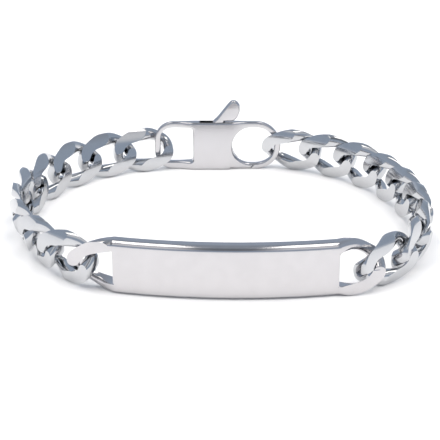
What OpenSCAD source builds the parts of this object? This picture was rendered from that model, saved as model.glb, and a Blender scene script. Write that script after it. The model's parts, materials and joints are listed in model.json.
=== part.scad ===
// Identity bracelet in polished steel: a curved plain plate, a curb chain on each side of it
// and a flat lobster clasp. It stands as a closed loop on its lower edge, plate toward -Y.
// All sizes are in millimetres and all angles in degrees.

/* [Plate] */
// Length of the plate, between the joints to the chain
plate_length = 47.1; // [36:0.2:60]
// Height of the plate
plate_height = 9.6; // [8.4:0.1:13]
// Thickness of the plate
plate_thick = 2.4; // [1.6:0.1:3]
// Radius that the plate is curved to
plate_radius = 91; // [60:1:200]
// Radius on the long edges of the plate's outer face
plate_edge = 1.1; // [0.2:0.05:1.2]
// Radius on the long edges of its inner face
plate_back = 0.4; // [0.1:0.05:0.8]
// Clear length of the opening at each end of the plate
plate_hole = 5.3; // [4.6:0.1:8]
// Height of the bars above and below that opening, where they leave the plate
plate_bar = 1.8; // [1.2:0.1:2.6]

/* [Chain] */
// Links on each side
links_each_side = 9; // [6:1:14]
// Distance from one link to the next
link_pitch = 8.26; // [7.4:0.02:10]
// Height of a link
link_width = 9.3; // [8:0.1:12]
// Width of a link's wire at its two ends, seen from the side
wire_side = 2.15; // [1.6:0.05:2.6]
// Width of a link's wire in the middle of its two legs
wire_middle = 2.75; // [2:0.05:3]
// Depth of a link's wire
wire_deep = 2.6; // [2.2:0.05:3.6]
// Thickness that the links are ground to
chain_thick = 2.8; // [2.4:0.1:4.6]
// How much thinner than that each face is at a link's upper and lower edge
chain_crown = 1; // [0:0.05:1.1]
// Twist at each end of a link
link_twist = 48; // [35:1:60]
// Play between neighbouring links
link_play = 0.45; // [0.2:0.05:0.8]

/* [Clasp] */
// Clear length of the clasp, between the two links that it holds
clasp_span = 23.9; // [20:0.1:30]
// How much higher the clasp is than a link
clasp_extra = 1.2; // [1.1:0.1:2.5]
// Thickness of the clasp's middle
clasp_thick = 2.5; // [2.2:0.1:3.4]
// Thickness of the clasp's tail and hook
loop_thick = 1.1; // [1:0.1:1.6]
// Width of the metal round the openings of the tail and the hook
clasp_bar = 1.2; // [1:0.05:1.4]
// Height of the metal under the tail's opening
floor_bar = 1.7; // [1.2:0.1:2]
// Clear length of the tail's opening
tail_hole = 7; // [6:0.1:8]
// Extra room for the links at both ends
end_room = 0.3; // [0.3:0.05:0.6]
// Thickness of the lever
lever_thick = 1.4; // [1:0.1:1.6]
// Gap on each side of the lever
lever_gap = 0.1; // [0.06:0.01:0.2]
// Diameter of the lever's pin
pin_diameter = 1.4; // [1:0.1:1.8]
// Running gap round the pin
pin_gap = 0.05; // [0.02:0.01:0.1]
// Height of the pin
pin_height = 3.6; // [3.2:0.1:4.2]
// Distance from the pin to the tip of the gate
gate_length = 7.1; // [6.4:0.1:8]
// Height of the trigger above the clasp
trigger_height = 4.7; // [3:0.1:6]
// Width of the trigger, from the middle of its neck to its tip
trigger_width = 4.8; // [4:0.1:6]
// How far the lever turns
lever_swing = 20; // [10:1:22]

/* [Loop] */
// Direction of the left chain where it leaves the plate
left_first = 33.5; // [10:0.5:45]
// Direction of the left chain where it meets the clasp
left_last = 172; // [140:0.5:190]
// How much earlier the left chain turns
left_bulge = -6; // [-15:0.5:30]
// Share of the left chain over which it does so
left_share = 1; // [0.3:0.01:1]
// Direction of the right chain where it leaves the plate
right_first = 26.5; // [10:0.5:45]
// Direction of the right chain where it meets the clasp
right_last = 170; // [140:0.5:190]
// How much earlier the right chain turns
right_bulge = 14; // [0:0.5:30]
// Share of the right chain over which it does so
right_share = 0.58; // [0.3:0.01:1]
// Outward lean of the left chain's links at their most
left_lean = 18; // [0:0.5:20]
// Outward lean of the right chain's links at their most
right_lean = 8; // [0:0.5:12]
// Inward lean of the right chain's end at the clasp
right_tip = 11.2; // [0:0.5:20]

/* [Hidden] */
$fn = 48;
around = 16;      // stations round a link
oval = 2.6;       // exponent of a link's outline, where 2 is an ellipse
joints = links_each_side;

// A link, in its own axes: X along the chain to the right as seen from inside the loop, Y up, Z inward

wire_a = (link_pitch + wire_side + link_play) / 2;
wire_b = (link_width - wire_side) / 2;

// Section of the wire as shares of its width and depth, from the crown of the outer side round
section = [[0.5, 0], [0.36, 0.5], [-0.3, 0.5], [-0.5, 0], [-0.3, -0.5], [0.36, -0.5]];
sides = len(section);

function power(v, e) = sign(v) * pow(abs(v), e);
function oval_point(a, b, s) = [a * power(cos(s), 2 / oval), b * power(sin(s), 2 / oval)];
function oval_normal(a, b, s) = let (n = [power(cos(s), 2 - 2 / oval) / a, power(sin(s), 2 - 2 / oval) / b])
    n / norm(n);

// Depth that a point at a height y is ground to, on faces that are crowned by the depth given
function ground(v, y, crown) = let (t = chain_thick / 2 - crown * pow(abs(2 * y / link_width), 3))
    max(-t, min(t, v));

// One section of a twisted wire: centre p, outward normal n, width, depth, twist and crown
function ring(p, n, wide, deep, twist, crown) = [for (q = section)
    let (r = p + n * q.x * wide, z = q.y * deep, y = r.y * cos(twist) - z * sin(twist))
    [r.x, y, ground(r.y * sin(twist) + z * cos(twist), y, crown)]];

// The wire's legs widen inward, so its outer edge stays on the oval
function link_ring(s) = let (p = oval_point(wire_a, wire_b, s), n = oval_normal(wire_a, wire_b, s),
        more = (wire_middle - wire_side) * pow(1 - pow(p.x / wire_a, 2), 3))
    ring(p - n * more / 2, n, wire_side + more, wire_deep, -link_twist * p.x / wire_a, chain_crown);
link_points = [for (i = [0:around - 1]) each link_ring(360 * i / around)];

// Triangles of a tube whose rings lie one after another
function tube(rings, closed) = [for (i = [0:rings - (closed ? 1 : 2)], j = [0:sides - 1])
    let (k = (i + 1) % rings, m = (j + 1) % sides)
    each [[i * sides + j, i * sides + m, k * sides + j], [i * sides + m, k * sides + m, k * sides + j]]];
function cap(i, front) = [for (j = [1:sides - 2])
    front ? [i * sides, i * sides + j, i * sides + j + 1] : [i * sides, i * sides + j + 1, i * sides + j]];

// The plan: plate, both chains and clasp as a closed chain of stiff pieces

plate_turn = asin(plate_length / 2 / norm([plate_radius, plate_hole])) - atan2(plate_hole, plate_radius);
plate_sag = plate_radius * (1 - cos(plate_turn)) + plate_hole * sin(plate_turn);

function wave(t, bulge, share) = bulge * sin(180 * min(1, t / share));
function heading(side, t) = side < 0
    ? left_first + (left_last - left_first) * t + wave(t, left_bulge, left_share)
    : right_first + (right_last - right_first) * t + wave(t, right_bulge, right_share);
function share_of(i) = (i + 0.5) / joints;
function way(side, i, turn) = let (h = heading(side, share_of(i)) + turn * share_of(i))
    [side * cos(h), sin(h)];
function walk(side, i, turn) = i == 0 ? [side * plate_length / 2, 0]
    : walk(side, i - 1, turn) + link_pitch * way(side, i - 1, turn);
function span(turn) = norm(walk(1, joints, turn) - walk(-1, joints, turn));

// The extra turn that makes the clasp fit between the two chains, found by halving
function settle(low, high, steps) = let (mid = (low + high) / 2) steps == 0 ? mid
    : span(mid) > clasp_span ? settle(mid, high, steps - 1)
    : settle(low, mid, steps - 1);
turn = settle(-40, 60, 30);

left_end = walk(-1, joints, turn);
right_end = walk(1, joints, turn);
clasp_way = atan2(right_end.y - left_end.y, right_end.x - left_end.x);

// Lean of a link, growing from none next to the plate and falling off again toward the clasp
function lean(side, i) = side > 0
    ? right_lean * pow(sin(180 * share_of(i)), 1.5) - right_tip * pow(share_of(i), 4)
    : left_lean * pow(sin(130 * share_of(i)), 1.3);

// A link's points in the plan. Its lowest point is at height 0.
function placed(points, centre, dir, side, tip) =
    let (right = -side * dir, out = [side * dir.y, -side * dir.x])
    let (raw = [for (p = points) [
        centre.x + right.x * p.x + out.x * (p.y * sin(tip) - p.z * cos(tip)),
        centre.y + right.y * p.x + out.y * (p.y * sin(tip) - p.z * cos(tip)),
        p.y * cos(tip) + p.z * sin(tip)]])
    let (low = min([for (p = raw) p.z]))
    [for (p = raw) [p.x, p.y, p.z - low]];
function chain_link(side, i) = placed(link_points,
    walk(side, i, turn) + way(side, i, turn) * link_pitch / 2, way(side, i, turn), side, lean(side, i));

// The whole is centred on the middle of its plan
all_points = [for (side = [-1, 1], i = [0:joints - 1]) each chain_link(side, i)];
left_most = min([for (p = all_points) p.x]);
right_most = max([for (p = all_points) p.x]);
back_most = max(max([for (p = all_points) p.y]), max(left_end.y, right_end.y) + clasp_thick / 2);
front_most = -plate_sag - plate_thick / 2;
centre = [-(left_most + right_most) / 2, -(back_most + front_most) / 2, 0];

// The plate's end is half a link, so it runs from the plate's section to a link's own
end_extra = 0.35;                 // extra room in its opening for the first link
end_back = 0.06;                  // how far its bars lie inside the plate's own surfaces
end_inset = 0.8;                  // how far its bars run into the plate
end_a = plate_hole + (link_play + wire_side) / 2 + end_extra;
end_b = (plate_height - plate_bar) / 2 - end_back;
end_thick = plate_thick - 2 * end_back;
end_deep = wire_deep - 0.5;       // depth of its wire at the very end
half = 8;                         // stations round it
function end_ring(s) = let (p = oval_point(end_a, end_b, s), t = abs(p.x) / end_a)
    ring(p, oval_normal(end_a, end_b, s), plate_bar + (wire_side - plate_bar) * t,
        end_thick + (end_deep - end_thick) * t, -link_twist * p.x / end_a, 0);
function inner_ring(y) = ring([end_inset, y], [0, sign(y)], plate_bar, end_thick, 0, 0);
end_points = concat(inner_ring(end_b), [for (i = [0:half], p = end_ring(90 + 180 * i / half)) p],
    inner_ring(-end_b));

module plate_end() {
    polyhedron(end_points, concat(tube(half + 3, false), cap(0, false), cap(half + 2, true)), convexity = 6);
}

// A rectangle from one corner to the other, with its corners' radii from the lower left one round
module soft_box(low, high, r) {
    polygon([[low.x + r[0], low.y], [high.x - r[1], low.y], [high.x, low.y + r[1]], [high.x, high.y - r[2]],
        [high.x - r[2], high.y], [low.x + r[3], high.y], [low.x, high.y - r[3]], [low.x, low.y + r[0]]]);
    translate([low.x + r[0], low.y + r[0]]) circle(r[0]);
    translate([high.x - r[1], low.y + r[1]]) circle(r[1]);
    translate([high.x - r[2], high.y - r[2]]) circle(r[2]);
    translate([low.x + r[3], high.y - r[3]]) circle(r[3]);
}

module plate_section() {
    soft_box([plate_radius - plate_thick / 2, 0], [plate_radius + plate_thick / 2, plate_height],
        [plate_back, plate_edge, plate_edge, plate_back]);
}

module id_plate() {
    color("silver") translate(centre) {
        translate([0, plate_radius - plate_sag, 0]) rotate([0, 0, -90 - plate_turn])
            rotate_extrude(angle = 2 * plate_turn, $fn = 96) plate_section();
        for (side = [-1, 1])
            translate([side * (plate_length / 2 - plate_hole * cos(plate_turn)),
                -plate_hole * sin(plate_turn), plate_height / 2])
                rotate([0, 0, side * plate_turn + (side > 0 ? 0 : 180)]) rotate([90, 0, 180])
                    plate_end();
    }
}

module chain_piece(number) {
    side = number <= joints ? -1 : 1;
    color("silver") translate(centre)
        polyhedron(chain_link(side, (number - 1) % joints), tube(around, true), convexity = 6);
}

// The clasp, drawn in its own plan: X along the chain to the right as seen from inside, Y up.
// X is 0 at the inner face of its left bar, where the left chain pulls.

clasp_height = link_width + clasp_extra;
tail_out = 3.9;                                     // radius of the corners at the left end
tail_in = [1, 0.8, 0.8, 2.4];                       // radii of the corners of the tail's opening
hook_out = clasp_height / 2;                        // outer radius of the hook
hook_in = hook_out - clasp_bar;
hook_x = clasp_span + 2 * end_room - hook_in;       // middle of the hook
hook_left = hook_x - 1.1;                           // middle of the left half of the hook's opening
slit = hook_x - 1.1;                                // where the gate meets the hook's tip, at the bottom
slit_gap = 0.12;
gate_height = 2.2;
pin = [slit - gate_length, pin_height];
edge_step = 0.3;                                    // width of the step that stands for rounded edges
past = 1;                                           // how far a cut runs past what it cuts
gate_root = 1;                                      // distance from the pin to where the gate begins

// Both openings and the outline, each with its edge drawn back into the metal by a distance
module tail_window(back) {
    soft_box([-back, floor_bar - back], [tail_hole + back, clasp_height - clasp_bar + back], tail_in);
}

module hook_hole(back) {
    r = hook_in + back;
    soft_box([hook_left - r, hook_out - r], [hook_x + r, hook_out + r], [r, r, r, r]);
}

module clasp_outline(back) {
    tail = tail_out - back;
    hook = hook_out - back;
    soft_box([back - clasp_bar, back], [hook_x + hook, clasp_height - back], [tail, hook, hook, tail]);
}

// Plan of the gate: the part of the lower wall left of a slit that slants up to the right
module gate_side(gap) {
    polygon([[pin.x + gate_root, -past], [slit - past - gap, -past], [slit + gate_height - gap, gate_height],
        [pin.x + gate_root, gate_height]]);
}

// Plan of the lever. The trigger is a fin that leans to the right, in shares of its width and height.
hub = 2;                                            // radius of the lever's hub
neck = 1.1;                                         // width of its neck left of the pin's middle
neck_right = neck + 0.3;                            // and right of it
seat = 0.15;                                        // gap between the trigger and the clasp's top
gate_thick = 2.5;                                   // length over which the gate runs into the hub
play = 0.35;                                        // room round the hub and the neck in the body
fin = [[0.65, 0], [0.86, 0.18], [0.98, 0.5], [1, 0.65], [0.96, 0.8], [0.87, 0.93], [0.74, 1], [0.6, 0.98],
    [0.44, 0.83], [0.19, 0.5], [-0.03, 0.2], [-neck / trigger_width, 0]];

module lever_plan() {
    foot = clasp_height + seat;
    translate(pin) circle(hub);
    polygon(concat([[pin.x - neck, pin.y], [pin.x + neck_right, pin.y], [pin.x + neck_right, foot]],
        [for (f = fin) [pin.x + f.x * trigger_width, foot + f.y * (trigger_height - seat)]]));
    // gate
    intersection() {
        difference() {
            translate([pin.x, 0]) square([hook_x - pin.x, 2 * gate_height]);
            hook_hole(0);
        }
        gate_side(slit_gap);
    }
    polygon([[pin.x, pin.y - hub], [pin.x + gate_root, 0], [pin.x + gate_thick, 0],
        [pin.x + gate_thick, gate_height], [pin.x, pin.y + hub]]);
}

// The whole of the body's metal, seen from the side
module clasp_plan(back) {
    difference() {
        clasp_outline(back);
        tail_window(back);
        hook_hole(back);
        intersection() {
            translate([hook_left - hook_in - 0.4, -past]) square([clasp_span, gate_height + past]);
            gate_side(0);
        }
    }
}

// Room for the lever inside the body, through its whole swing
module slot_plan() {
    room = hub + play;
    left = pin.x - neck - play - (clasp_height - pin.y) * sin(lever_swing);
    right = pin.x + neck_right + slit_gap;
    polygon([[left, clasp_height + past], [left, clasp_height - 0.6], [pin.x - room, pin.y],
        [pin.x - room, pin.y - room], [pin.x, -past], [slit, -past], [hook_left - 2, hook_out + 0.2],
        [right, hook_out + 1], [right, clasp_height + past]]);
}

module at_clasp() {
    translate(centre + [left_end.x, left_end.y, 0]) rotate([0, 0, clasp_way]) rotate([90, 0, 0])
        translate([-end_room, 0, 0]) children();
}

module clasp_body() {
    color("silver") at_clasp() {
        difference() {
            union() {
                translate([0, 0, -loop_thick / 4]) linear_extrude(loop_thick / 2) clasp_plan(0);
                translate([0, 0, -loop_thick / 2]) linear_extrude(loop_thick) clasp_plan(edge_step);
                translate([0, 0, -clasp_thick / 2]) linear_extrude(clasp_thick) intersection() {
                    clasp_plan(edge_step);
                    translate([tail_hole - 0.6, -past])
                        square([hook_left - tail_hole + 1, clasp_height + 2 * past]);
                }
            }
            translate([0, 0, -lever_thick / 2 - lever_gap]) linear_extrude(lever_thick + 2 * lever_gap)
                slot_plan();
        }
        translate([pin.x, pin.y, -clasp_thick / 2 + 0.1])
            cylinder(h = clasp_thick - 0.2, d = pin_diameter);
    }
}

module clasp_lever() {
    color("gainsboro") at_clasp()
        difference() {
            translate([0, 0, -lever_thick / 2]) linear_extrude(lever_thick) lever_plan();
            translate([pin.x, pin.y, -lever_thick]) cylinder(h = 2 * lever_thick, d = pin_diameter + 2 * pin_gap);
        }
}

function link_name(i) = str("link_", i < 10 ? "0" : "", i);

id_plate();
for (i = [1:2 * joints]) chain_piece(i);
clasp_body();
clasp_lever();
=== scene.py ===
# The id bracelet's looks: smooth links, plate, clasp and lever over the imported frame.
# Lengths in the tables below are in millimetres, as on a drawing; every object is in metres.
import json
import math

import bmesh
import bpy
import numpy as np
from mathutils import Matrix, Vector


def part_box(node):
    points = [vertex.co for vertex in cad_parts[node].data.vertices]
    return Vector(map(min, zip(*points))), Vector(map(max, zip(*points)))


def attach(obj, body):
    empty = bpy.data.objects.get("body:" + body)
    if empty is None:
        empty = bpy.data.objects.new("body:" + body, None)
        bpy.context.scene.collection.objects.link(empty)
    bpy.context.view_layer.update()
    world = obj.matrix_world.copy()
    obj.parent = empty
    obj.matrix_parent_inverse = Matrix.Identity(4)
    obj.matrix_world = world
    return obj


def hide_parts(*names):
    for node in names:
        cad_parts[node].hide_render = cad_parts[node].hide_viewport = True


MM = 0.001
FLAT = 0.999  # a face whose normal has more than this along the depth is a ground face

# Plate
PLATE_LENGTH = 47.1
PLATE_HEIGHT = 9.6
PLATE_THICK = 2.4
PLATE_RADIUS = 91.0
PLATE_EDGE = 1.1
PLATE_BACK = 0.4
PLATE_HOLE = 5.3
PLATE_BAR = 1.8
END_EXTRA = 0.35
END_DEEP = 2.1
END_EDGE = 0.95
END_INNER = 0.65

# Chain
LINK_PITCH = 8.26
LINK_WIDTH = 9.3
WIRE_SIDE = 2.15
WIRE_MIDDLE = 2.75
WIRE_DEEP = 2.6
CHAIN_THICK = 2.8
CHAIN_CROWN = 1.0
LINK_TWIST = 48.0
LINK_PLAY = 0.45
LINK_RIM = 0.06  # bevel round a link's two ground faces
GROUND_STEP = 0.24  # height between the cuts that let a ground face be crowned
OVAL = 2.6  # exponent of a link's outline

# Clasp
CLASP_SPAN = 23.9
CLASP_HEIGHT = 10.5
CLASP_THICK = 2.5
CLASP_LEAN = 0.2  # share of its thickness that the clasp loses toward its top
LOOP_THICK = 1.3
CLASP_BAR = 1.2
FLOOR_BAR = 1.7
TAIL_HOLE = 7.0
END_ROOM = 0.3
TAIL_OUT = 3.9
TAIL_IN = (1.0, 0.8, 0.8, 2.4)
HOOK_OUT = CLASP_HEIGHT / 2
HOOK_IN = HOOK_OUT - CLASP_BAR
HOOK_X = CLASP_SPAN + 2 * END_ROOM - HOOK_IN
HOOK_LEFT = HOOK_X - 1.1
CLASP_RIM = 0.45

# Lever
SLIT = HOOK_LEFT  # where the gate meets the hook's tip
SLIT_GAP = 0.12
GATE_LENGTH = 7.1
GATE_HEIGHT = 2.2
LEVER_THICK = 1.4
LEVER_GAP = 0.1
LEVER_RIM = 0.5
LEVER_SWING = 20.0
LEVER_ROOM = 0.35  # room round the hub
PIN = (SLIT - GATE_LENGTH, 3.6)
BORE = 0.75
HUB = 2.0
NECK = 1.1
NECK_RIGHT = 0.3  # how much farther the neck reaches on the gate's side


# Small helpers

def power(v, e):
    return math.copysign(abs(v) ** e, v)


def new_mesh(name, bm):
    mesh = bpy.data.meshes.new(name)
    bm.to_mesh(mesh)
    bm.free()
    return mesh


def add_object(name, mesh):
    piece = bpy.data.objects.new(name, mesh)
    bpy.context.scene.collection.objects.link(piece)
    return piece


def dress(piece, body, slot, material, *nodes):
    """Gives a piece its material and says which body it rides on and which nodes it stands for."""
    piece.data.materials.clear()
    piece.data.materials.append(material)
    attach(piece, body)
    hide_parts(*nodes)
    return piece


def add_grid(bm, rows, closed):
    """Adds quads between rows of points that lie one after another."""
    made = [[bm.verts.new(p) for p in row] for row in rows]
    count = len(made[0])
    for a, b in zip(made, made[1:]):
        for i in range(count if closed else count - 1):
            j = (i + 1) % count
            bm.faces.new((a[i], b[i], b[j], a[j]))
    return made


def everything(bm):
    return bm.verts[:] + bm.edges[:] + bm.faces[:]


# Links

def oval_point(a, b, s):
    return a * power(math.cos(s), 2 / OVAL), b * power(math.sin(s), 2 / OVAL)


def oval_normal(a, b, s):
    n = Vector((power(math.cos(s), 2 - 2 / OVAL) / a, power(math.sin(s), 2 - 2 / OVAL) / b))
    return n.normalized()


def even_steps(a, b, count, start, end):
    """Parameters of an oval from start to end, in even steps along it."""
    fine = [start + (end - start) * i / 4000 for i in range(4001)]
    points = [Vector(oval_point(a, b, s)) for s in fine]
    run = np.concatenate([[0], np.cumsum([(q - p).length for p, q in zip(points, points[1:])])])
    return np.interp(np.linspace(0, run[-1], count), run, fine)


def twisted(p, n, section, twist):
    """One section of a twisted wire, in the link's own axes."""
    ring = []
    for out, deep in section:
        x, y = p[0] + n[0] * out, p[1] + n[1] * out
        ring.append((x, y * math.cos(twist) - deep * math.sin(twist),
                     y * math.sin(twist) + deep * math.cos(twist)))
    return ring


def wire_section(width, depth, count=36, roundness=2.5):
    """Closed section of the wire as (outward, depth) points."""
    turns = [2 * math.pi * i / count for i in range(count)]
    return [(width / 2 * power(math.cos(t), 2 / roundness), depth / 2 * power(math.sin(t), 2 / roundness))
            for t in turns]


def crown(y, deep):
    """Depth that a face is ground to at a height y, as a share of its depth in the middle."""
    return 1 - deep * min(1, abs(2 * y / LINK_WIDTH)) ** 3 / (CHAIN_THICK / 2)


def grind(bm, bevel, deep):
    """Grinds both faces to the chain's thickness, crowned by a depth, and softens their rims."""
    half = CHAIN_THICK / 2
    for v in bm.verts:
        v.co.z /= crown(v.co.y, deep)
    for side in (-1, 1):
        made = bmesh.ops.bisect_plane(bm, geom=everything(bm), plane_co=(0, 0, side * half),
                                      plane_no=(0, 0, side), clear_outer=True)
        edges = [e for e in made["geom_cut"] if isinstance(e, bmesh.types.BMEdge)]
        bmesh.ops.holes_fill(bm, edges=edges, sides=0)
    bmesh.ops.remove_doubles(bm, verts=bm.verts[:], dist=0.03)
    flats = [f for f in bm.faces
             if abs(abs(f.calc_center_median().z) - half) < 1e-4 and abs(f.normal.z) > FLAT]
    edges = list({e for f in flats for e in f.edges if len(e.link_faces) == 2})
    if bevel:
        bmesh.ops.bevel(bm, geom=edges, offset=bevel, segments=2, profile=0.6, affect="EDGES",
                        clamp_overlap=False)
    for i in range(-19, 20):
        flats = [f for f in bm.faces if abs(f.normal.z) > FLAT]
        edges = list({e for f in flats for e in f.edges})
        corners = list({v for f in flats for v in f.verts})
        bmesh.ops.bisect_plane(bm, geom=flats + edges + corners, plane_co=(0, i * GROUND_STEP, 0),
                               plane_no=(0, 1, 0))
    for v in bm.verts:
        v.co.z *= crown(v.co.y, deep)


def link_mesh():
    a = (LINK_PITCH + WIRE_SIDE + LINK_PLAY) / 2
    b = (LINK_WIDTH - WIRE_SIDE) / 2
    twist = math.radians(LINK_TWIST)
    bm = bmesh.new()
    rows = []
    for s in even_steps(a, b, 129, 0, 2 * math.pi)[:-1]:
        p = oval_point(a, b, s)
        n = oval_normal(a, b, s)
        more = (WIRE_MIDDLE - WIRE_SIDE) * (1 - (p[0] / a) ** 2) ** 3
        middle = (p[0] - n[0] * more / 2, p[1] - n[1] * more / 2)
        rows.append(twisted(middle, n, wire_section(WIRE_SIDE + more, WIRE_DEEP), -twist * p[0] / a))
    rows.append(rows[0])
    add_grid(bm, rows, True)
    bmesh.ops.remove_doubles(bm, verts=bm.verts[:], dist=1e-4)
    bmesh.ops.recalc_face_normals(bm, faces=bm.faces[:])
    grind(bm, LINK_RIM, CHAIN_CROWN)
    bmesh.ops.scale(bm, vec=(MM, MM, MM), verts=bm.verts[:])
    return new_mesh("link", bm)


def node_axes(node):
    """A link's middle and its own axes, found from the symmetry of its solid's corners."""
    mesh = frame["nodes"][node].data
    points = np.array([v.co for v in mesh.vertices])
    points = np.unique(points.round(7), axis=0)
    middle = points.mean(axis=0)
    values, axes = np.linalg.eigh(np.cov((points - middle).T))
    x, y = axes[:, 2], axes[:, 1]
    if y[2] < 0:
        y = -y
    z = np.cross(x, y)
    return Matrix(((x[0], y[0], z[0], middle[0]), (x[1], y[1], z[1], middle[1]),
                   (x[2], y[2], z[2], middle[2]), (0, 0, 0, 1)))


def add_links(material):
    plain = link_mesh()
    for node in sorted(n for n in frame["nodes"] if n.startswith("link_")):
        mesh = plain.copy()
        mesh.transform(node_axes(node))
        low = min(v.co.z for v in mesh.vertices)
        mesh.transform(Matrix.Translation((0, 0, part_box(node)[0].z - low)))
        piece = add_object("curb_" + node, mesh)
        finish_normals(piece, 40)
        dress(piece, "bracelet", "chain_steel", material, node)


# Plate

def corner(u, v, r, start, count=7):
    """Arc of a quarter turn round (u, v), from a start angle in quarter turns."""
    turns = [(start + i / count) * math.pi / 2 for i in range(count + 1)]
    return [(u + r * math.cos(t), v + r * math.sin(t)) for t in turns]


def line(p, q, count):
    return [(p[0] + (q[0] - p[0]) * i / count, p[1] + (q[1] - p[1]) * i / count) for i in range(count + 1)]


def bar_section(width, depth, front, back, inner):
    """Outer part and inner part of a bar's closed section, as (outward, depth) points.

    Its outward edges have the radii given in front and at the back, and its other two have the inner one."""
    w, d = width / 2, depth / 2
    outside = (line((-w + inner, -d), (w - front, -d), 4)[:-1] + corner(w - front, -d + front, front, -1)[:-1]
               + line((w, -d + front), (w, d - back), 4)[:-1] + corner(w - back, d - back, back, 0)[:-1]
               + line((w - back, d), (-w + inner, d), 4))
    inside = (corner(-w + inner, d - inner, inner, 1)[:-1]
              + line((-w, d - inner), (-w, -d + inner), 4)[:-1] + corner(-w + inner, -d + inner, inner, 2))
    return outside, inside


PLATE_TURN = (math.asin(PLATE_LENGTH / 2 / math.hypot(PLATE_RADIUS, PLATE_HOLE))
              - math.atan2(PLATE_HOLE, PLATE_RADIUS))
PLATE_SAG = PLATE_RADIUS * (1 - math.cos(PLATE_TURN)) + PLATE_HOLE * math.sin(PLATE_TURN)


def plate_middle():
    """Middle of the line between the plate's two joints, seen from above."""
    rest = frame["record"]["mounts"][0]["pos_m"]
    return rest[0] / MM, rest[1] / MM + PLATE_SAG


def plate_end(bm, side):
    """Half a link that grows out of the plate's two bars."""
    a = PLATE_HOLE + (LINK_PLAY + WIRE_SIDE) / 2 + END_EXTRA
    b = (PLATE_HEIGHT - PLATE_BAR) / 2
    twist = math.radians(LINK_TWIST)
    near, far = (PLATE_EDGE, PLATE_BACK) if side > 0 else (PLATE_BACK, PLATE_EDGE)
    part = bmesh.new()
    rows = []
    for s in even_steps(a, b, 73, math.pi / 2, math.pi * 1.5):
        p = oval_point(a, b, s)
        t = abs(p[0]) / a
        outside, inside = bar_section(PLATE_BAR + (WIRE_SIDE - PLATE_BAR) * t,
                                      PLATE_THICK + (END_DEEP - PLATE_THICK) * t,
                                      near + (END_EDGE - near) * t, far + (END_EDGE - far) * t,
                                      END_INNER * min(1, 3 * t))
        section = outside[:-1] + inside[:-1]
        rows.append(twisted(p, oval_normal(a, b, s), section, -twist * p[0] / a))
    add_grid(part, rows, True)
    bmesh.ops.remove_doubles(part, verts=part.verts[:], dist=1e-5)
    bmesh.ops.recalc_face_normals(part, faces=part.faces[:])
    grind(part, 0.0, 0.0)
    turn = side * PLATE_TURN + (0 if side > 0 else math.pi)
    middle = plate_middle()
    origin = Vector((middle[0] + side * (PLATE_LENGTH / 2 - PLATE_HOLE * math.cos(PLATE_TURN)),
                     middle[1] - PLATE_HOLE * math.sin(PLATE_TURN), PLATE_HEIGHT / 2))
    to_end = Matrix(((-1, 0, 0, 0), (0, 0, 1, 0), (0, 1, 0, 0), (0, 0, 0, 1)))
    place = Matrix.Translation(origin) @ Matrix.Rotation(turn, 4, "Z") @ to_end
    mesh = new_mesh("end", part)
    mesh.transform(place)
    bm.from_mesh(mesh)
    bpy.data.meshes.remove(mesh)


def plate_point(angle, deep, height):
    """A point of the plate, at an angle along it, a depth inward and a height."""
    r = PLATE_RADIUS - deep
    middle = plate_middle()
    return middle[0] + r * math.sin(angle), middle[1] + PLATE_RADIUS - PLATE_SAG - r * math.cos(angle), height


def plate_mesh():
    outside, inside = bar_section(PLATE_BAR, PLATE_THICK, PLATE_EDGE, PLATE_BACK, 0.0)
    middle = PLATE_BAR / 2
    top = [(deep, PLATE_HEIGHT - middle + out) for out, deep in outside]
    bottom = [(deep, middle - out) for out, deep in reversed(outside)]
    low, high = PLATE_BAR, PLATE_HEIGHT - PLATE_BAR
    steps = 10
    levels = [high + (low - high) * i / steps for i in range(steps + 1)]
    back = [(PLATE_THICK / 2, z) for z in levels[1:-1]]
    front = [(-PLATE_THICK / 2, z) for z in reversed(levels[1:-1])]
    loop = top + back + bottom + front
    count = 72
    angles = [PLATE_TURN * (2 * i / count - 1) for i in range(count + 1)]
    bm = bmesh.new()
    add_grid(bm, [[plate_point(t, deep, z) for deep, z in loop] for t in angles], True)
    across = [deep for out, deep in inside]
    for side in (-1, 1):
        add_grid(bm, [[plate_point(side * PLATE_TURN, deep, z) for deep in across] for z in levels], False)
        plate_end(bm, side)
    bmesh.ops.remove_doubles(bm, verts=bm.verts[:], dist=0.012)
    bmesh.ops.recalc_face_normals(bm, faces=bm.faces[:])
    for v in bm.verts:
        v.co.z = min(PLATE_HEIGHT, max(0, v.co.z))
    for f in bm.faces:
        f.smooth = True
    bmesh.ops.scale(bm, vec=(MM, MM, MM), verts=bm.verts[:])
    return new_mesh("plate", bm)


def add_plate(material):
    piece = add_object("polished_plate", plate_mesh())
    bevel = piece.modifiers.new("soft_edges", "BEVEL")
    bevel.width = 0.09 * MM
    bevel.segments = 2
    bevel.limit_method = "ANGLE"
    bevel.angle_limit = math.radians(32)
    normals = piece.modifiers.new("normals", "WEIGHTED_NORMAL")
    normals.keep_sharp = True
    return dress(piece, "bracelet", "plate_steel", material, "id_plate")


# Clasp

def soft_box(low, high, radii, steps=10):
    """Outline of a box whose four corners, from the lower left one round, have the radii given."""
    r = radii
    return (corner(low[0] + r[0], low[1] + r[0], r[0], 2, steps)
            + corner(high[0] - r[1], low[1] + r[1], r[1], 3, steps)
            + corner(high[0] - r[2], high[1] - r[2], r[2], 0, steps)
            + corner(low[0] + r[3], high[1] - r[3], r[3], 1, steps))


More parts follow.
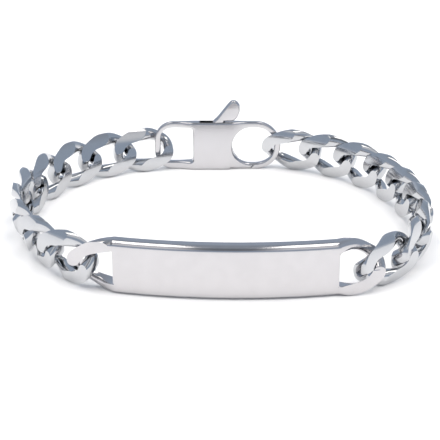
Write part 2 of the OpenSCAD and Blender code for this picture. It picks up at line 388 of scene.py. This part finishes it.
def slab(name, outlines, thick, edge):
    """A flat solid with round edges, from closed outlines in which a later one is a hole."""
    curve = bpy.data.curves.new(name, "CURVE")
    curve.dimensions = "2D"
    curve.fill_mode = "BOTH"
    curve.bevel_depth = edge * MM
    curve.bevel_resolution = 4
    curve.offset = -edge * MM
    curve.extrude = (thick / 2 - edge) * MM
    for outline in outlines:
        spline = curve.splines.new("POLY")
        spline.points.add(len(outline) - 1)
        for point, (x, z) in zip(spline.points, outline):
            point.co = (x * MM, z * MM, 0, 1)
        spline.use_cyclic_u = True
    holder = bpy.data.objects.new(name, curve)
    mesh = bpy.data.meshes.new_from_object(holder)
    bpy.data.objects.remove(holder)
    bpy.data.curves.remove(curve)
    bm = bmesh.new()
    bm.from_mesh(mesh)
    bpy.data.meshes.remove(mesh)
    bmesh.ops.remove_doubles(bm, verts=bm.verts[:], dist=2e-6)
    bmesh.ops.recalc_face_normals(bm, faces=bm.faces[:])
    return bm


def prism(name, outline, thick):
    """A plain solid to cut with, from a plan outline."""
    bm = bmesh.new()
    sides = [[bm.verts.new((x * MM, z * MM, side * thick / 2 * MM)) for x, z in outline] for side in (-1, 1)]
    bm.faces.new(sides[0])
    bm.faces.new(list(reversed(sides[1])))
    count = len(outline)
    for i in range(count):
        j = (i + 1) % count
        bm.faces.new((sides[0][i], sides[0][j], sides[1][j], sides[1][i]))
    bmesh.ops.recalc_face_normals(bm, faces=bm.faces[:])
    return add_object(name, new_mesh(name, bm))


def clasp_place():
    """Where the clasp's own axes lie: X along it, Y up and Z toward the plate."""
    hinge = frame["record"]["behaviour"]["joints"][0]
    z = Vector(hinge["axis"])
    y = Vector((0, 0, 1))
    x = y.cross(z)
    pin = Vector(hinge["pos_m"]) - x * PIN[0] * MM - y * PIN[1] * MM
    return Matrix(((x.x, y.x, z.x, pin.x), (x.y, y.y, z.y, pin.y), (x.z, y.z, z.z, pin.z), (0, 0, 0, 1)))


def ease(t):
    t = min(1, max(0, t))
    return t * t * (3 - 2 * t)


def clasp_swell(x):
    """Thickness of the clasp along its length, as a share of its middle's."""
    thin = LOOP_THICK / CLASP_THICK
    rise = ease((x - TAIL_HOLE + 3.4) / 3.6)
    fall = ease((x - HOOK_LEFT + HOOK_IN + 0.2) / 3.4)
    return thin + (1 - thin) * rise * (1 - fall)


def clasp_rise(y):
    """How far up the clasp's upper half a height lies, from 0 to 1."""
    return min(1, max(0, 2 * y / CLASP_HEIGHT - 1))


def cut(piece, tool):
    boolean = piece.modifiers.new("cut", "BOOLEAN")
    boolean.operation = "DIFFERENCE"
    boolean.solver = "EXACT"
    boolean.object = tool
    holder = bpy.context.evaluated_depsgraph_get()
    mesh = bpy.data.meshes.new_from_object(piece.evaluated_get(holder))
    piece.modifiers.clear()
    old = piece.data
    piece.data = mesh
    bpy.data.meshes.remove(old)
    shape = tool.data
    bpy.data.objects.remove(tool)
    bpy.data.meshes.remove(shape)


def finish_normals(piece, angle):
    piece.data.shade_smooth()
    piece.data.set_sharp_from_angle(angle=math.radians(angle))
    normals = piece.modifiers.new("normals", "WEIGHTED_NORMAL")
    normals.keep_sharp = True


def add_clasp(material):
    end = HOOK_X + HOOK_OUT
    roof = CLASP_HEIGHT - CLASP_BAR
    outer = soft_box((-CLASP_BAR, 0), (end, CLASP_HEIGHT), (TAIL_OUT, HOOK_OUT, HOOK_OUT, TAIL_OUT), 16)
    window = soft_box((0, FLOOR_BAR), (TAIL_HOLE, roof), TAIL_IN)
    hole = soft_box((HOOK_LEFT - HOOK_IN, CLASP_BAR), (HOOK_X + HOOK_IN, roof), (HOOK_IN,) * 4, 16)
    bm = slab("clasp", [outer, window, hole], CLASP_THICK, CLASP_RIM)
    for i in range(1, 48):
        x = -CLASP_BAR + (end + CLASP_BAR) * i / 48
        bmesh.ops.bisect_plane(bm, geom=everything(bm), plane_co=(x * MM, 0, 0), plane_no=(1, 0, 0))
    for i in range(8, 16):
        y = CLASP_HEIGHT * i / 16
        bmesh.ops.bisect_plane(bm, geom=everything(bm), plane_co=(0, y * MM, 0), plane_no=(0, 1, 0))
    for v in bm.verts:
        v.co.z *= clasp_swell(v.co.x / MM) * (1 - CLASP_LEAN * clasp_rise(v.co.y / MM) ** 2)
    piece = add_object("polished_clasp", new_mesh("clasp", bm))
    gate = [(HOOK_LEFT - HOOK_IN - 0.4, -1), (SLIT - 1, -1), (SLIT + GATE_HEIGHT, GATE_HEIGHT),
            (HOOK_LEFT - HOOK_IN - 0.4, GATE_HEIGHT)]
    cut(piece, prism("gate_room", gate, 4))
    room = HUB + LEVER_ROOM
    left = PIN[0] - NECK - 0.4 - (CLASP_HEIGHT - PIN[1]) * math.sin(math.radians(LEVER_SWING))
    right = PIN[0] + NECK + NECK_RIGHT + SLIT_GAP
    slot = [(left, CLASP_HEIGHT + 1), (left, CLASP_HEIGHT - 0.6), (PIN[0] - room, PIN[1]),
            (PIN[0] - room, PIN[1] - room), (PIN[0], -1), (SLIT, -1), (HOOK_LEFT - 2, HOOK_OUT + 0.2),
            (right, HOOK_OUT + 1), (right, CLASP_HEIGHT + 1)]
    cut(piece, prism("slot", slot, LEVER_THICK + 2 * LEVER_GAP))
    piece.data.transform(clasp_place())
    finish_normals(piece, 34)
    return dress(piece, "bracelet", "clasp_steel", material, "clasp_body")


def smooth_line(points, steps=6):
    """A curve through the points given, without its two end stretches."""
    made = []
    for p, q, r, s in zip(points, points[1:], points[2:], points[3:]):
        for i in range(steps):
            t = i / steps
            made.append(tuple(0.5 * (2 * q[k] + (r[k] - p[k]) * t
                                     + (2 * p[k] - 5 * q[k] + 4 * r[k] - s[k]) * t * t
                                     + (3 * q[k] - p[k] - 3 * r[k] + s[k]) * t ** 3) for k in (0, 1)))
    return made


def lever_outline():
    """Outline of the gate, its round root, the neck, the trigger's fin and the hub, one after another."""
    x, z = PIN
    foot = CLASP_HEIGHT + 0.15
    arc = [(HOOK_LEFT + HOOK_IN * math.cos(t), HOOK_OUT + HOOK_IN * math.sin(t))
           for t in [math.radians(270 - 74 * i / 12) for i in range(13)]]
    fin = smooth_line([(x + u, foot + v) for u, v in (
        (2.2, -0.2), (3.15, 0.04), (4.1, 0.8), (4.68, 2.2), (4.76, 2.95), (4.6, 3.65), (4.15, 4.25),
        (3.5, 4.52), (2.8, 4.4), (2.1, 3.72), (0.93, 2.25), (-0.13, 0.9), (-NECK, -0.2), (-NECK, -2))])
    hub = [(x + HUB * math.cos(t), z + HUB * math.sin(t))
           for t in [math.radians(125 + 140 * i / 14) for i in range(15)]]
    right = x + NECK + NECK_RIGHT
    return ([(x + 1, 0.02), (SLIT - SLIT_GAP, 0.02), (SLIT + CLASP_BAR - SLIT_GAP, CLASP_BAR)] + arc
            + [(right, z + 1.6), (right, foot)] + fin + [(x - NECK, foot - 0.4)] + hub)


def add_lever(material):
    bm = slab("lever", [lever_outline()], LEVER_THICK, LEVER_RIM)
    piece = add_object("polished_lever", new_mesh("lever", bm))
    cut(piece, prism("bore", [(PIN[0] + BORE * math.cos(t), PIN[1] + BORE * math.sin(t))
                              for t in [math.pi * i / 16 for i in range(32)]], 4))
    piece.data.transform(clasp_place())
    finish_normals(piece, 34)
    return dress(piece, "lever", "clasp_steel", material, "clasp_lever")


# Materials

def steel(name, color, roughness, wave, scratch):
    """Polished steel: slightly wavy, with fine scratches and an uneven polish."""
    material = bpy.data.materials.new(name)
    material.use_nodes = True
    nodes, links = material.node_tree.nodes, material.node_tree.links
    shader = nodes["Principled BSDF"]
    shader.inputs["Metallic"].default_value = 1.0
    where = nodes.new("ShaderNodeTexCoord")

    polish = nodes.new("ShaderNodeTexNoise")
    polish.inputs["Scale"].default_value = 420
    polish.inputs["Detail"].default_value = 3
    links.new(where.outputs["Object"], polish.inputs["Vector"])
    spread = nodes.new("ShaderNodeMapRange")
    spread.inputs["To Min"].default_value = roughness * 0.7
    spread.inputs["To Max"].default_value = roughness * 1.5
    links.new(polish.outputs["Fac"], spread.inputs["Value"])
    links.new(spread.outputs["Result"], shader.inputs["Roughness"])

    tint = nodes.new("ShaderNodeValToRGB")
    tint.color_ramp.elements[0].position = 0.35
    tint.color_ramp.elements[0].color = (*[c * 0.965 for c in color], 1)
    tint.color_ramp.elements[1].position = 0.65
    tint.color_ramp.elements[1].color = (*color, 1)
    links.new(polish.outputs["Fac"], tint.inputs["Fac"])
    links.new(tint.outputs["Color"], shader.inputs["Base Color"])

    waves = nodes.new("ShaderNodeTexNoise")
    waves.inputs["Scale"].default_value = 95
    waves.inputs["Detail"].default_value = 1
    links.new(where.outputs["Object"], waves.inputs["Vector"])
    stretch = nodes.new("ShaderNodeMapping")
    stretch.inputs["Scale"].default_value = (180, 180, 5200)
    links.new(where.outputs["Object"], stretch.inputs["Vector"])
    lines = nodes.new("ShaderNodeTexNoise")
    lines.inputs["Scale"].default_value = 1
    lines.inputs["Detail"].default_value = 4
    links.new(stretch.outputs["Vector"], lines.inputs["Vector"])
    soft = nodes.new("ShaderNodeBump")
    soft.inputs["Strength"].default_value = wave
    soft.inputs["Distance"].default_value = 0.0003
    links.new(waves.outputs["Fac"], soft.inputs["Height"])
    fine = nodes.new("ShaderNodeBump")
    fine.inputs["Strength"].default_value = scratch
    fine.inputs["Distance"].default_value = 0.00002
    links.new(lines.outputs["Fac"], fine.inputs["Height"])
    links.new(soft.outputs["Normal"], fine.inputs["Normal"])
    links.new(fine.outputs["Normal"], shader.inputs["Normal"])
    return material


# Floor, light and camera

def add_floor():
    size = 6.0
    bm = bmesh.new()
    bmesh.ops.create_grid(bm, x_segments=1, y_segments=1, size=size)
    floor = add_object("floor", new_mesh("floor", bm))
    material = bpy.data.materials.new("floor_white")
    material.use_nodes = True
    shader = material.node_tree.nodes["Principled BSDF"]
    shader.inputs["Base Color"].default_value = (0.93, 0.93, 0.935, 1)
    shader.inputs["Roughness"].default_value = 0.35
    shader.inputs["Specular IOR Level"].default_value = 0.2
    floor.data.materials.append(material)
    floor.location.z = -0.00002


def add_area(name, place, aim, size, power_w, color=(1, 1, 1)):
    light = bpy.data.lights.new(name, "AREA")
    light.shape = "RECTANGLE"
    light.size, light.size_y = size
    light.energy = power_w
    light.color = color
    lamp = bpy.data.objects.new(name, light)
    bpy.context.scene.collection.objects.link(lamp)
    lamp.location = place
    lamp.rotation_euler = (Vector(aim) - Vector(place)).to_track_quat("-Z", "Y").to_euler()
    return lamp


def add_lights():
    """Two lamps over the bracelet, and two large soft ones beside them that its steel doesn't mirror."""
    warm = (1.0, 0.95, 0.89)
    for name, side in (("left", -1), ("right", 1)):
        over = (side * 0.26, -0.08)
        add_area("top_" + name, (*over, 1.0), (*over, 0), (0.26, 0.7), 1.5, warm)
        soft = add_area("soft_" + name, (side * 0.8, -0.1, 0.8), (0, 0, 0), (1.4, 1.6), 12.5, warm)
        soft.visible_glossy = False


def ramp_of(nodes, stops):
    ramp = nodes.new("ShaderNodeValToRGB")
    elements = ramp.color_ramp.elements
    elements[0].position = stops[0][0]
    elements[0].color = (*stops[0][1], 1)
    elements[1].position = stops[-1][0]
    elements[1].color = (*stops[-1][1], 1)
    for position, color in stops[1:-1]:
        elements.new(position).color = (*color, 1)
    return ramp


def smooth_step(nodes, links, socket, start, end):
    """Value that rises from 0 to 1 while a socket goes from start to end."""
    step = nodes.new("ShaderNodeMapRange")
    step.interpolation_type = "SMOOTHSTEP"
    step.inputs["From Min"].default_value = start
    step.inputs["From Max"].default_value = end
    links.new(socket, step.inputs["Value"])
    return step.outputs["Result"]


def product(nodes, links, first, second):
    both = nodes.new("ShaderNodeMath")
    both.operation = "MULTIPLY"
    links.new(first, both.inputs[0])
    links.new(second, both.inputs[1])
    return both.outputs["Value"]


def mix_colors(nodes, links, factor, first, second):
    """Mix of two colours, of which each is a socket or a plain colour."""
    blend = nodes.new("ShaderNodeMix")
    blend.data_type = "RGBA"
    links.new(factor, blend.inputs["Factor"])
    for socket, color in zip([s for s in blend.inputs if s.type == "RGBA"], (first, second)):
        if isinstance(color, tuple):
            socket.default_value = (*color, 1)
        else:
            links.new(color, socket)
    return [s for s in blend.outputs if s.type == "RGBA"][0]


def set_world():
    """A slate-blue room over the white floor, with a pale screen high up in front, dark in its middle."""
    world = bpy.data.worlds.new("studio")
    bpy.context.scene.world = world
    world.use_nodes = True
    nodes, links = world.node_tree.nodes, world.node_tree.links
    where = nodes.new("ShaderNodeTexCoord")
    split = nodes.new("ShaderNodeSeparateXYZ")
    links.new(where.outputs["Generated"], split.inputs["Vector"])
    room = ramp_of(nodes, [(0.0, (0.95, 0.96, 1.0)), (0.04, (0.6, 0.65, 0.74)), (0.12, (0.41, 0.48, 0.59)),
                           (0.6, (0.41, 0.48, 0.58)), (0.85, (0.36, 0.4, 0.47)), (1.0, (0.33, 0.37, 0.43))])
    links.new(split.outputs["Z"], room.inputs["Fac"])
    aside = nodes.new("ShaderNodeMath")
    aside.operation = "ABSOLUTE"
    links.new(split.outputs["X"], aside.inputs[0])
    upright = product(nodes, links, smooth_step(nodes, links, split.outputs["Y"], -0.2, -0.6),
                      smooth_step(nodes, links, split.outputs["Z"], 0.3, 0.55))
    inside = product(nodes, links, upright, smooth_step(nodes, links, aside.outputs["Value"], 0.6, 0.4))
    screen = mix_colors(nodes, links, smooth_step(nodes, links, aside.outputs["Value"], 0.08, 0.24),
                        (0.2, 0.22, 0.25), (0.84, 0.85, 0.88))
    mixed = mix_colors(nodes, links, inside, room.outputs["Color"], screen)
    links.new(mixed, nodes["Background"].inputs["Color"])


def add_camera():
    """The photograph's view: from in front of the plate and above it."""
    camera = bpy.data.cameras.new("camera")
    camera.sensor_width = 36
    camera.lens = 36 * 1061.5 / 440
    camera.clip_start = 0.01
    camera.clip_end = 20
    holder = bpy.data.objects.new("camera", camera)
    bpy.context.scene.collection.objects.link(holder)
    middle = plate_middle()
    holder.location = ((middle[0] + 2.86) * MM, (middle[1] - 157.99) * MM, 81.51 * MM)
    holder.rotation_euler = Vector((-0.0224, 0.9164, -0.3996)).to_track_quat("-Z", "Y").to_euler()
    bpy.context.scene.camera = holder


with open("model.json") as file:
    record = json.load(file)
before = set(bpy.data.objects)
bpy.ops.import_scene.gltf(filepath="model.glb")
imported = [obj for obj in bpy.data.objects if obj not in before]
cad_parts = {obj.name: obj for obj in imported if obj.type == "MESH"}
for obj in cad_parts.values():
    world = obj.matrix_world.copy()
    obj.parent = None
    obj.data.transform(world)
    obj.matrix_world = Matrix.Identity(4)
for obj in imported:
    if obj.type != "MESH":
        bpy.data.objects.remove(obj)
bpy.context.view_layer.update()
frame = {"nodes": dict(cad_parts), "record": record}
bpy.context.scene.view_settings.view_transform = "Standard"
add_camera()
add_floor()
add_lights()
set_world()
chain_steel = steel("chain_steel", (0.57, 0.577, 0.591), 0.1, 0.03, 0.05)
plate_steel = steel("plate_steel", (0.592, 0.58, 0.59), 0.1, 0.02, 0.05)
clasp_steel = steel("clasp_steel", (0.604, 0.595, 0.607), 0.16, 0.03, 0.08)
add_links(chain_steel)
add_plate(plate_steel)
add_clasp(clasp_steel)
add_lever(clasp_steel)
bpy.context.view_layer.update()
